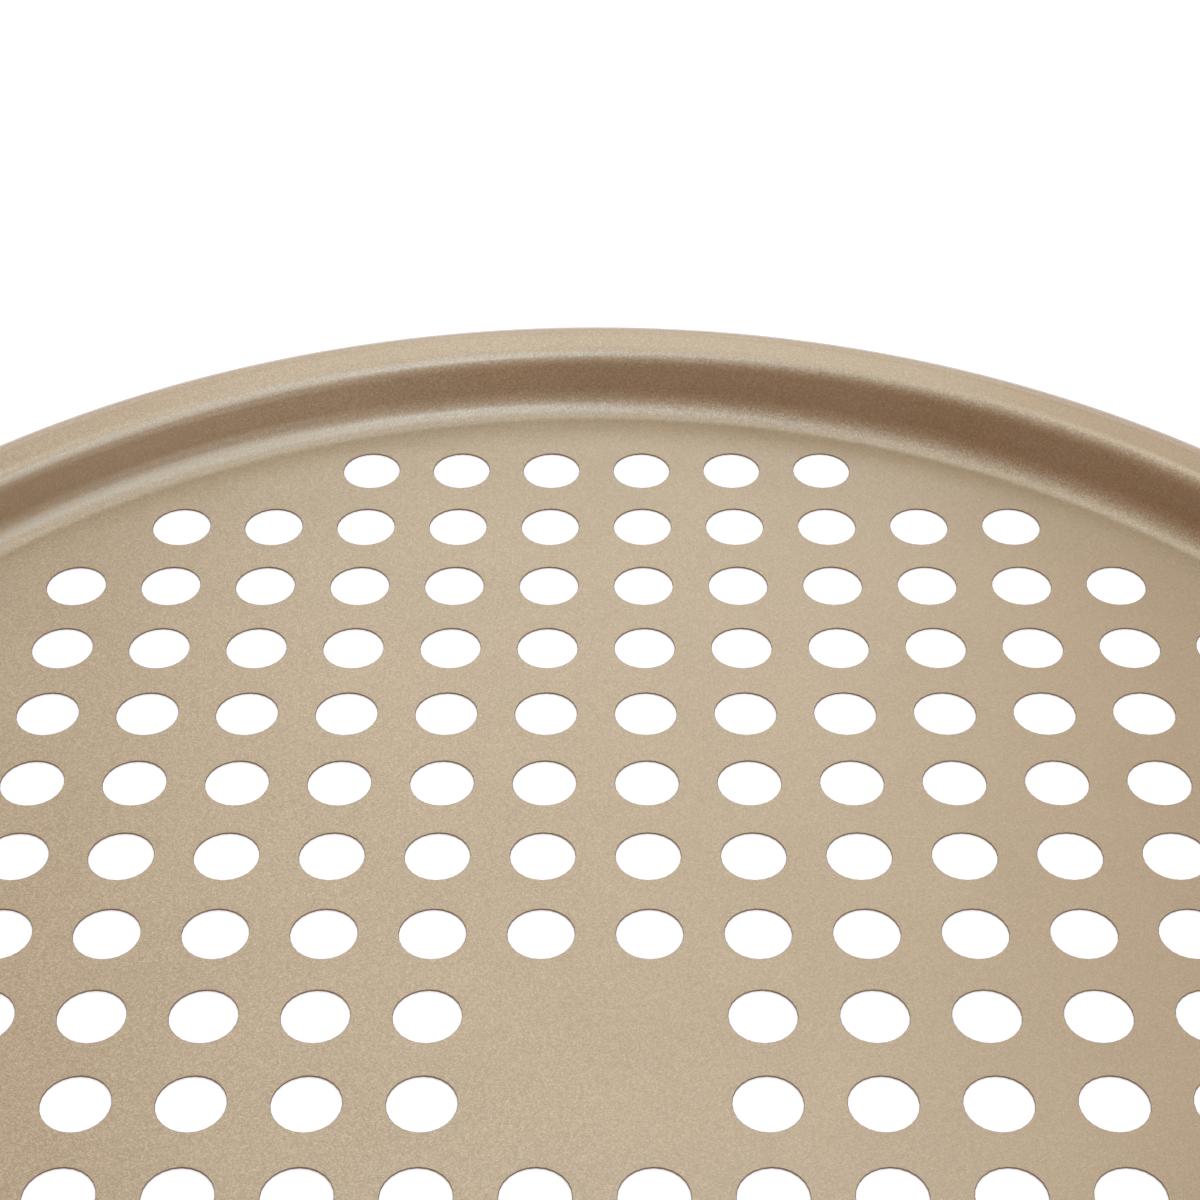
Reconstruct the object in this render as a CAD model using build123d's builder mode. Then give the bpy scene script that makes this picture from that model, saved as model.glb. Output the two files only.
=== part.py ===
from build123d import *

import os
from math import acos, cos, degrees, hypot, radians, sin

# Round perforated pizza pan: one pressed steel sheet with its edge curled around a steel wire.
# The origin is the centre of the floor's underside and +Z is up, so the pan stands on z = 0.
# Lengths are in millimetres and angles in degrees.

# Steel sheet, coating included
sheet_thickness = 0.4

# Floor, punched with round holes on a square grid whose middle rows are left plain
floor_radius = 147.1
hole_diameter = 9.7
hole_pitch = 15.6
plain_rows = 2
edge_land = 3.0

# Wall and rim, measured on the upper face
rim_height = 9.4
floor_fillet = 5.5
wall_slope = 70.0
shoulder_radius = 3.6
flange_width = 3.2
crown_radius = 8.0
crown_turn = 30.0

# Curled edge and the wire ring inside it
wire_diameter = 2.6
wire_clearance = 0.25
wire_end_gap = 0.8
curl_gap = 0.8

# How far a cut runs past the sheet
cut_overrun = 1.0

# The wall's straight stretch is what the two bends leave of the rim's height
bends_height = (floor_fillet + shoulder_radius) * (1 - cos(radians(wall_slope)))
wall_length = (rim_height - bends_height) / sin(radians(wall_slope))

# The curl turns until its cut end is curl_gap below the sheet that it comes from
curl_bore_radius = wire_diameter / 2 + wire_clearance
curl_radius = curl_bore_radius + sheet_thickness
curl_turn = 360 - degrees(acos((curl_bore_radius - curl_gap) / curl_radius))

# An even number of rows puts the middle of the grid between four holes
field_radius = floor_radius - edge_land - hole_diameter / 2
grid_rows = 2 * (int(field_radius / hole_pitch) + 1)


def is_punched(place):
    """True where the grid has a hole: inside the field and outside the plain middle."""
    across, along = abs(place.position.X), abs(place.position.Y)
    return hypot(across, along) <= field_radius and max(across, along) > plain_rows * hole_pitch / 2


def face_line(depth):
    """Draws the sheet's line at a depth below its upper face, from the centre out to the cut end."""
    floor = Line((0, sheet_thickness - depth), (floor_radius, sheet_thickness - depth))
    bend = JernArc(floor @ 1, floor % 1, floor_fillet + depth, wall_slope)
    wall = Line(bend @ 1, bend @ 1 + wall_length * (bend % 1))
    shoulder = JernArc(wall @ 1, wall % 1, shoulder_radius - depth, -wall_slope)
    flange = Line(shoulder @ 1, shoulder @ 1 + flange_width * (shoulder % 1))
    crown = JernArc(flange @ 1, flange % 1, crown_radius - depth, -crown_turn)
    return JernArc(crown @ 1, crown % 1, curl_radius - depth, -curl_turn)


# Pan: the section between the sheet's two faces, turned about the axis and punched
with BuildPart() as pan:
    with BuildSketch(Plane.XZ):
        with BuildLine():
            upper_curl = face_line(0)
            under_curl = face_line(sheet_thickness)
            Line(upper_curl @ 1, under_curl @ 1)
            Line((0, 0), (0, sheet_thickness))
        make_face()
    revolve(axis=Axis.Z)
    with BuildSketch(Plane.XY.offset(-cut_overrun)):
        with Locations(*filter(is_punched, GridLocations(hole_pitch, hole_pitch, grid_rows, grid_rows))):
            Circle(hole_diameter / 2)
    extrude(amount=sheet_thickness + 2 * cut_overrun, mode=Mode.SUBTRACT)
pan.part.label = "pan"

# Wire: an open ring, cut so that its ends almost meet
ring_centre = upper_curl.center_point
with BuildPart() as rim_wire:
    with BuildSketch(Plane.XZ):
        with Locations(ring_centre):
            Circle(wire_diameter / 2)
    revolve(axis=Axis.Z, revolution_arc=360 - degrees(wire_end_gap / ring_centre.X))
rim_wire.part.label = "rim_wire"

os.makedirs("parts", exist_ok=True)
export_step(pan.part, "parts/pan.step")
export_step(rim_wire.part, "parts/rim_wire.step")
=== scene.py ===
from math import acos, cos, pi, radians, sin

import bpy
import numpy as np
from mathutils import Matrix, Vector
from mathutils.geometry import delaunay_2d_cdt


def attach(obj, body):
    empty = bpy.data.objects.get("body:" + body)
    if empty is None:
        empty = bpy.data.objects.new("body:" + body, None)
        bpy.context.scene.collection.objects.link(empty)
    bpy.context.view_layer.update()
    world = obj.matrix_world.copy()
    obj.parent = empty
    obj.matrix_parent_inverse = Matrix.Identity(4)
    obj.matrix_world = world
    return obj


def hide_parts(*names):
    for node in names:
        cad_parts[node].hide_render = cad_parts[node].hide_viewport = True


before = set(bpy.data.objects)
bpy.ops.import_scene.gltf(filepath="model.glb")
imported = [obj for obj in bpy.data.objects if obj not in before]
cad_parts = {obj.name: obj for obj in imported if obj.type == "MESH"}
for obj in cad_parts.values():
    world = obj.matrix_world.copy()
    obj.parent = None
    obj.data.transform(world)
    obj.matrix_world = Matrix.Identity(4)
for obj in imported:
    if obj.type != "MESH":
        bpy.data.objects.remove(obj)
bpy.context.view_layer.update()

# Sizes of the pan, in metres and radians. The origin is the centre of the floor's underside.
MM = 0.001
SHEET = 0.4 * MM
FLOOR_RADIUS = 147.1 * MM
HOLE_RADIUS = 4.85 * MM
HOLE_PITCH = 15.6 * MM
PLAIN_ROWS = 2
EDGE_LAND = 3.0 * MM
RIM_HEIGHT = 9.4 * MM
FLOOR_FILLET = 5.5 * MM
WALL_SLOPE = radians(70.0)
SHOULDER_RADIUS = 3.6 * MM
FLANGE_WIDTH = 3.2 * MM
CROWN_RADIUS = 8.0 * MM
CROWN_TURN = radians(30.0)
CURL_BORE = 1.55 * MM
CURL_GAP = 0.8 * MM
PUNCH_ROUND = 0.12 * MM

# The curl stops half a sheet short of its cut end, which is rounded over that length. The wall's
# straight stretch is what the two bends leave of the rim's height.
CURL_RADIUS = CURL_BORE + SHEET
CURL_TURN = 2 * pi - acos((CURL_BORE - CURL_GAP) / CURL_RADIUS) - SHEET / 2 / CURL_RADIUS
WALL_LENGTH = (RIM_HEIGHT - (FLOOR_FILLET + SHOULDER_RADIUS) * (1 - cos(WALL_SLOPE))) / sin(WALL_SLOPE)

# How finely the surfaces are divided. The bends are fillet, shoulder, crown and curl.
TURN_STEPS = 480
HOLE_STEPS = 24
BEND_STEPS = (8, 8, 6, 18)
CUT_STEPS = 4
PUNCH_STEPS = 1

# Settings of the flat floor's triangulation: keep what lies inside a ring, and take points
# nearer than this as one
INSIDE_RINGS = 1
SAME_POINT = 1e-9

# Coating: the flakes' size, the spread of their lean along each axis, and their darkest and
# lightest tone. The shares say how much a flake's own number, that number's steep power and the
# wide clouds lighten it.
FLAKE_SIZE = 0.16 * MM
FLAKE_TILT = 0.15
FLAKE_DARK = (0.41, 0.325, 0.20, 1.0)
FLAKE_LIGHT = (0.70, 0.575, 0.395, 1.0)
FLAKE_SHARE = 0.45
GLINT_SHARE = 0.25
GLINT_POWER = 6
CLOUD_SHARE = 0.2
CLOUDS_PER_METRE = 45.0

# The coating's colour on the punched holes' edges: painted shade, a dark brown where the edges lie in shade
BORE_PAINTED_SHADE = (0.20, 0.13, 0.07, 1.0)

# Wire
WIRE_TONE = (0.42, 0.41, 0.40, 1.0)
WIRE_LINES_PER_METRE = 900.0

# Studio floor
FLOOR_HALF_WIDTH = 0.6
FLOOR_DROP = 0.02 * MM
FLOOR_TONE = (0.9, 0.9, 0.9, 1.0)
FLOOR_GLOW = (0.95, 1.0, 1.1, 1.0)
FLOOR_GLOW_STRENGTH = 0.45
FLOOR_CLOUDS_PER_METRE = 3.0

# Lights: the tones of the softboxes and of the room round them, and the softboxes' distance
PLAIN = (0.93, 1.04, 1.07)
COOL = (0.78, 1.0, 1.22)
ROOM_TONE = (0.34, 0.19, 0.125)
LAMP_DISTANCE = 2.0

# Each softbox: its name, degrees to the right of the back, degrees up, width, height, strength
# and tone
SOFTBOXES = (
    ("back_low", 0, 14, 2.4, 0.5, 1.15, PLAIN),
    ("back_middle", 0, 36, 0.7, 0.7, 1.7, PLAIN),
    ("back_left", -25, 33, 0.7, 0.9, 0.5, COOL),
    ("back_right", 25, 33, 0.7, 0.9, 0.25, PLAIN),
    ("far_left", -52, 32, 0.8, 0.9, 1.0, PLAIN),
    ("back_high", 0, 57, 0.8, 0.6, 1.9, PLAIN),
    ("back_top", 0, 73, 0.4, 0.35, 2.7, COOL),
    ("top", 0, 88, 0.4, 0.4, 4.5, COOL),
    ("top_right", 50, 79, 0.35, 0.35, 3.5, COOL),
    ("top_far_right", 80, 68, 0.4, 0.4, 3.8, COOL),
    ("front_top", 150, 76, 0.4, 0.4, 7.5, COOL),
    ("key", 120, 58, 0.9, 0.9, 2.2, COOL),
    ("front_right", 140, 22, 1.0, 0.7, 1.1, PLAIN),
)

# Camera: the photograph's width and its lens in the photograph's pixels, the sensor's width in
# millimetres, the camera's place, its turn about X, Y and Z in degrees, and its nearest and
# furthest sight
FRAME_PIXELS = 1200
LENS_PIXELS = 2786.55
SENSOR_WIDTH = 36.0
CAMERA_PLACE = (1.06 * MM, -251.69 * MM, 294.53 * MM + SHEET)
CAMERA_TURN = (49.866, 0.052, 0.028)
CAMERA_SIGHT = (0.01, 50.0)


def face_line(depth):
    """The sheet's line in the (radius, height) plane, as complex numbers, with its heading.

    Each bend is a circular arc: its centre is a radius to the left or right of the start, and a
    point is the centre plus the radius turned by the heading. depth moves the line below the
    upper face, which adds to a left bend's radius and takes from a right bend's.
    """
    bends = (
        (FLOOR_FILLET + depth, WALL_SLOPE, WALL_LENGTH),
        (SHOULDER_RADIUS - depth, -WALL_SLOPE, FLANGE_WIDTH),
        (CROWN_RADIUS - depth, -CROWN_TURN, 0.0),
        (CURL_RADIUS - depth, -CURL_TURN, 0.0),
    )
    start, heading = FLOOR_RADIUS + 1j * (SHEET - depth), 0.0
    points, headings = [np.array([start])], [np.array([heading])]
    for (radius, turn, straight), steps in zip(bends, BEND_STEPS):
        side = 1j * np.sign(turn)
        along = heading + turn * np.arange(1, steps + 1) / steps
        centre = start + side * radius * np.exp(1j * heading)
        points.append(centre - side * radius * np.exp(1j * along))
        headings.append(along)
        start, heading = points[-1][-1], along[-1]
        if straight:
            start = start + straight * np.exp(1j * heading)
            points.append(np.array([start]))
            headings.append(np.array([heading]))
    return np.concatenate(points), np.concatenate(headings)


def rim_section():
    """Closed line round the rim's metal, from the floor's upper face out to the cut end and back
    below, with the outward normal: left of the heading above, and right of it below.

    The cut end is a half circle on the sheet's middle line, as wide as the sheet is thick.
    """
    over, over_heading = face_line(0.0)
    under, under_heading = face_line(SHEET)
    ahead = np.exp(1j * over_heading[-1])
    end_normals = ahead * np.exp(1j * pi * (1 / 2 - np.arange(1, CUT_STEPS) / CUT_STEPS))
    end = (over[-1] + under[-1]) / 2 + SHEET / 2 * end_normals
    points = np.concatenate([over, end, under[::-1]])
    normals = np.concatenate([
        1j * np.exp(1j * over_heading), end_normals, -1j * np.exp(1j * under_heading[::-1])])
    return points, normals


def punched_edge():
    """Section of a hole's edge: a quarter round from the upper face, the bore, and one below.

    A point of the quarter round is its centre plus its radius turned by the angle from upright.
    The lower one is the upper one's mirror image in the sheet's middle.
    """
    quarter = pi / 2 * np.arange(PUNCH_STEPS + 1) / PUNCH_STEPS
    outward = 1j * np.exp(1j * quarter)
    ring = HOLE_RADIUS + PUNCH_ROUND
    over = ring + 1j * (SHEET - PUNCH_ROUND) + PUNCH_ROUND * outward
    points = np.concatenate([over, over.real[::-1] + 1j * (SHEET - over.imag[::-1])])
    normals = np.concatenate([outward, outward.conj()[::-1]])
    return points, normals


def hole_centres():
    """Square grid of hole centres, at odd halves of the pitch each way from the middle. Those
    inside the field and outside the plain middle are kept."""
    field = FLOOR_RADIUS - EDGE_LAND - HOLE_RADIUS
    reach = int(field / HOLE_PITCH) + 1
    steps = (np.arange(-reach, reach) + 1 / 2) * HOLE_PITCH
    x, y = (grid.ravel() for grid in np.meshgrid(steps, steps))
    kept = (np.hypot(x, y) <= field) & (np.maximum(abs(x), abs(y)) > PLAIN_ROWS * HOLE_PITCH / 2)
    return np.stack([x[kept], y[kept], 0 * x[kept]], axis=-1)


def turned(points, normals, steps, centres):
    """Surface of turning: (radius, height) points carried round vertical axes at the centres.

    Returns coordinates and normals with the axes (centre, point, step, xyz).
    """
    angle = 2 * pi * np.arange(steps) / steps
    across, along = np.cos(angle), np.sin(angle)

    def swept(line):
        radius, height = line.real[:, None], line.imag[:, None]
        return np.stack([radius * across, radius * along, height + 0 * across], axis=-1)

    coords = swept(points)[None] + centres[:, None, None, :]
    return coords, np.broadcast_to(swept(normals)[None], coords.shape)


def band_quads(count, points, steps):
    """Faces between neighbouring points and neighbouring steps of the turned grids, closed in turn."""
    index = np.arange(count * points * steps).reshape(count, points, steps)
    near, far = index[:, :-1], index[:, 1:]
    quads = np.stack([near, far, np.roll(far, -1, axis=2), np.roll(near, -1, axis=2)], axis=-1)
    return quads.reshape(-1, 4)


def flat_triangles(rings):
    """Triangles between closed rings of points in one plane: inside the first and outside the others."""
    flat = np.concatenate([ring[:, :2] for ring in rings])
    ends = np.cumsum([len(ring) for ring in rings])
    loops = [list(range(end - len(ring), end)) for ring, end in zip(rings, ends)]
    _, _, faces, sources, _, owners = delaunay_2d_cdt(flat.tolist(), [], loops, INSIDE_RINGS, SAME_POINT)
    in_first_only = np.array([len(owner) for owner in owners]) == 1
    return np.array(sources)[:, 0][np.array(faces)[in_first_only]]


def new_piece(name, coords, normals, bore, quads, triangles, material):
    """A mesh object at the origin from whole arrays, with smooth faces and its own normals. The
    attribute bore is 1 in a hole's edge and 0 elsewhere."""
    mesh = bpy.data.meshes.new(name)
    mesh.vertices.add(len(coords))
    mesh.vertices.foreach_set("co", coords.ravel())
    mesh.loops.add(quads.size + triangles.size)
    mesh.loops.foreach_set("vertex_index", np.concatenate([quads.ravel(), triangles.ravel()]))
    mesh.polygons.add(len(quads) + len(triangles))
    mesh.polygons.foreach_set("loop_start", np.concatenate([
        4 * np.arange(len(quads)), quads.size + 3 * np.arange(len(triangles))]))
    mesh.update(calc_edges=True)
    mesh.validate()
    mesh.shade_smooth()
    mesh.normals_split_custom_set_from_vertices(normals)
    mesh.attributes.new("bore", "FLOAT", "POINT").data.foreach_set("value", bore)
    mesh.materials.append(material)
    piece = bpy.data.objects.new(name, mesh)
    bpy.context.collection.objects.link(piece)
    return piece


def pan_surface(material):
    """The whole pressed sheet as one closed skin: the rim's section and each hole's edge turned
    about their axes, joined above and below by the flat floor's triangles."""
    origin = np.zeros((1, 3))
    rim, rim_normals = turned(*rim_section(), TURN_STEPS, origin)
    edge_points, edge_normals = punched_edge()
    centres = hole_centres()
    edges, edges_normals = turned(edge_points, edge_normals, HOLE_STEPS, centres)
    rim_count = rim.shape[1] * TURN_STEPS
    rim_quads = band_quads(1, rim.shape[1], TURN_STEPS)
    edge_quads = band_quads(len(centres), len(edge_points), HOLE_STEPS) + rim_count

    rim_index = np.arange(rim_count).reshape(-1, TURN_STEPS)
    edge_index = rim_count + np.arange(edges.size // 3).reshape(len(centres), -1, HOLE_STEPS)
    triangles = flat_triangles([rim[0, 0]] + list(edges[:, 0]))
    above = np.concatenate([rim_index[0], edge_index[:, 0].ravel()])[triangles]
    below = np.concatenate([rim_index[-1], edge_index[:, -1].ravel()])[triangles[:, ::-1]]

    coords = np.concatenate([rim.reshape(-1, 3), edges.reshape(-1, 3)])
    normals = np.concatenate([rim_normals.reshape(-1, 3), edges_normals.reshape(-1, 3)])
    # The bore mask, which places the painted shade on the holes' edges, is how far each normal leans
    # sideways
    sideways = np.hypot(edges_normals[..., 0], edges_normals[..., 1]).ravel()
    bore = np.concatenate([np.zeros(rim_count), sideways])
    return new_piece(
        "pan_sheet", coords, normals, bore,
        np.concatenate([rim_quads, edge_quads[:, ::-1]]), np.concatenate([above, below]), material)


def feed(tree, slot, value):
    """Links a shader output to a node's input, or sets the input's value."""
    if isinstance(value, Socket):
        tree.links.new(value.output, slot)
    else:
        slot.default_value = value


class Socket:
    """A shader output that Python's operators turn into Math nodes."""

    def __init__(self, tree, output):
        self.tree, self.output = tree, output

    def math(self, operation, first, second):
        """One Math node on two values or outputs."""
        node = self.tree.nodes.new("ShaderNodeMath")
        node.operation = operation
        feed(self.tree, node.inputs[0], first)
        feed(self.tree, node.inputs[1], second)
        return Socket(self.tree, node.outputs[0])

    def __add__(self, other):
        return self.math("ADD", self, other)

    def __radd__(self, other):
        return self.math("ADD", other, self)

    def __sub__(self, other):
        return self.math("SUBTRACT", self, other)

    def __rsub__(self, other):
        return self.math("SUBTRACT", other, self)

    def __mul__(self, other):
        return self.math("MULTIPLY", self, other)

    def __rmul__(self, other):
        return self.math("MULTIPLY", other, self)

    def __pow__(self, other):
        return self.math("POWER", self, other)


class Finish:
    """A material whose nodes are added one call at a time and end in a Principled shader."""

    def __init__(self, name):
        self.material = bpy.data.materials.new(name)
        self.material.use_nodes = True
        self.tree = self.material.node_tree
        self.shader = self.tree.nodes["Principled BSDF"]
        self.place = self.node("ShaderNodeTexCoord", output="Object")

    def node(self, kind, settings=None, output=0, **values):
        """One node: its settings first, then its sockets' values or links; returns an output."""
        made = self.tree.nodes.new(kind)
        for key, value in (settings or {}).items():
            setattr(made, key, value)
        self.fill(made, values)
        return Socket(self.tree, made.outputs[output])

    def mix(self, factor, first, second):
        """A colour between two, by the factor."""
        return self.node("ShaderNodeMix", {"data_type": "RGBA"}, output=2, Factor=factor, A=first, B=second)

    def vector(self, operation, *values):
        """A Vector Math node on whole vectors."""
        made = self.tree.nodes.new("ShaderNodeVectorMath")
        made.operation = operation
        for slot, value in zip(made.inputs, values):
            feed(self.tree, slot, value)
        return Socket(self.tree, made.outputs[0])

    def fill(self, made, values):
        """Feeds a node's sockets by name, with an underscore for each space."""
        for key, value in values.items():
            name = key.replace("_", " ")
            feed(self.tree, next(slot for slot in made.inputs if slot.enabled and slot.name == name), value)

    def surface(self, **values):
        """Feeds the Principled shader and returns the finished material."""
        self.fill(self.shader, values)
        return self.material


def coating():
    """Champagne metallic non-stick coating: flakes, each with its own tilt and tint, under a satin
    binder that is level on top. Wide clouds change its tone a little.

    A flake's colour holds three random numbers from 0 to 1. One sets its tone, and all three,
    less a half, lean its normal.
    """
    finish = Finish("nonstick_coating")
    flake = finish.node(
        "ShaderNodeTexVoronoi", {"feature": "F1"}, output="Color", Vector=finish.place, Scale=1 / FLAKE_SIZE)
    glint = finish.node("ShaderNodeSeparateColor", output="Red", Color=flake)
    cloud = finish.node("ShaderNodeTexNoise", Vector=finish.place, Scale=CLOUDS_PER_METRE, Detail=2.0)
    tone = FLAKE_SHARE * glint + GLINT_SHARE * glint ** GLINT_POWER + CLOUD_SHARE * cloud
    tint = finish.mix(tone, FLAKE_DARK, FLAKE_LIGHT)
    bore = finish.node("ShaderNodeAttribute", {"attribute_name": "bore"}, output="Fac")
    spread = finish.vector("SUBTRACT", flake, (0.5, 0.5, 0.5))
    tilt = finish.vector("MULTIPLY", spread, (FLAKE_TILT, FLAKE_TILT, FLAKE_TILT))
    level = finish.node("ShaderNodeNewGeometry", output="Normal")
    normal = finish.vector("NORMALIZE", finish.vector("ADD", level, tilt))
    # On the holes' edges the base colour is painted shade, and the binder is left off
    return finish.surface(
        Base_Color=finish.mix(bore, tint, BORE_PAINTED_SHADE), Metallic=0.8, Roughness=0.55,
        Coat_Weight=1.0 - bore, Coat_Roughness=0.25, Normal=normal)


def wire_steel():
    """Bare drawn steel wire: dull grey with fine lines that change its roughness."""
    finish = Finish("wire_steel")
    lines = finish.node(
        "ShaderNodeTexNoise", Vector=finish.place, Scale=WIRE_LINES_PER_METRE, Detail=3.0, Roughness=0.6)
    return finish.surface(Base_Color=WIRE_TONE, Metallic=1.0, Roughness=0.3 + 0.2 * lines)


def studio_floor():
    """Pale floor: white, with a faint glow that lifts it to the photograph's pure white."""
    finish = Finish("studio_floor")
    cloud = finish.node("ShaderNodeTexNoise", Vector=finish.place, Scale=FLOOR_CLOUDS_PER_METRE, Detail=2.0)
    return finish.surface(
        Base_Color=FLOOR_TONE, Roughness=0.8 + 0.1 * cloud, Specular_IOR_Level=0.0,
        Emission_Color=FLOOR_GLOW, Emission_Strength=FLOOR_GLOW_STRENGTH)


def floor_plane():
    """A level square just below the pan."""
    corners = FLOOR_HALF_WIDTH * np.array([[-1.0, -1.0], [1.0, -1.0], [1.0, 1.0], [-1.0, 1.0]])
    mesh = bpy.data.meshes.new("studio_floor")
    mesh.from_pydata([(x, y, -FLOOR_DROP) for x, y in corners], [], [(0, 1, 2, 3)])
    mesh.materials.append(studio_floor())
    plane = bpy.data.objects.new("studio_floor", mesh)
    bpy.context.collection.objects.link(plane)


def room():
    """Dim warm surroundings that light the pan, shown to the camera as white."""
    world = bpy.data.worlds.new("room")
    world.use_nodes = True
    tree = world.node_tree
    shown = tree.nodes.new("ShaderNodeMix")
    shown.data_type = "RGBA"
    shown.inputs["A"].default_value = (*ROOM_TONE, 1.0)
    shown.inputs["B"].default_value = (1.0, 1.0, 1.0, 1.0)
    seen = tree.nodes.new("ShaderNodeLightPath")
    tree.links.new(seen.outputs["Is Camera Ray"], shown.inputs["Factor"])
    tree.links.new(shown.outputs["Result"], tree.nodes["Background"].inputs["Color"])
    bpy.context.scene.world = world


def softbox(name, azimuth, elevation, width, height, strength, tone):
    """An area light that faces the pan, azimuth degrees to the right of the back and elevation up.
    Its surface is strength times as bright as plain white."""
    light = bpy.data.lights.new(name, "AREA")
    light.shape, light.size, light.size_y = "RECTANGLE", width, height
    light.energy, light.color = strength * pi * width * height, tone
    away = Vector((
        sin(radians(azimuth)) * cos(radians(elevation)),
        cos(radians(azimuth)) * cos(radians(elevation)),
        sin(radians(elevation)),
    ))
    lamp = bpy.data.objects.new(name, light)
    lamp.location = LAMP_DISTANCE * away
    lamp.rotation_euler = away.to_track_quat("Z", "Y").to_euler()
    bpy.context.collection.objects.link(lamp)


def studio():
    """A lit floor, a warm room, softboxes behind and overhead, and a large cool key on the right."""
    floor_plane()
    room()
    for box in SOFTBOXES:
        softbox(*box)


def camera():
    """The photograph's view: from the near side, 40 degrees down, with a long lens."""
    data = bpy.data.cameras.new("camera")
    data.sensor_width = SENSOR_WIDTH
    data.lens = LENS_PIXELS / FRAME_PIXELS * SENSOR_WIDTH
    data.clip_start, data.clip_end = CAMERA_SIGHT
    eye = bpy.data.objects.new("camera", data)
    eye.location = CAMERA_PLACE
    eye.rotation_euler = [radians(turn) for turn in CAMERA_TURN]
    bpy.context.collection.objects.link(eye)
    bpy.context.scene.camera = eye


camera()
studio()
bpy.context.scene.view_settings.view_transform = "Standard"

pan = pan_surface(coating())
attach(pan, "root")
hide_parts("pan")

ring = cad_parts["rim_wire"]
ring.data.materials.clear()
ring.data.materials.append(wire_steel())
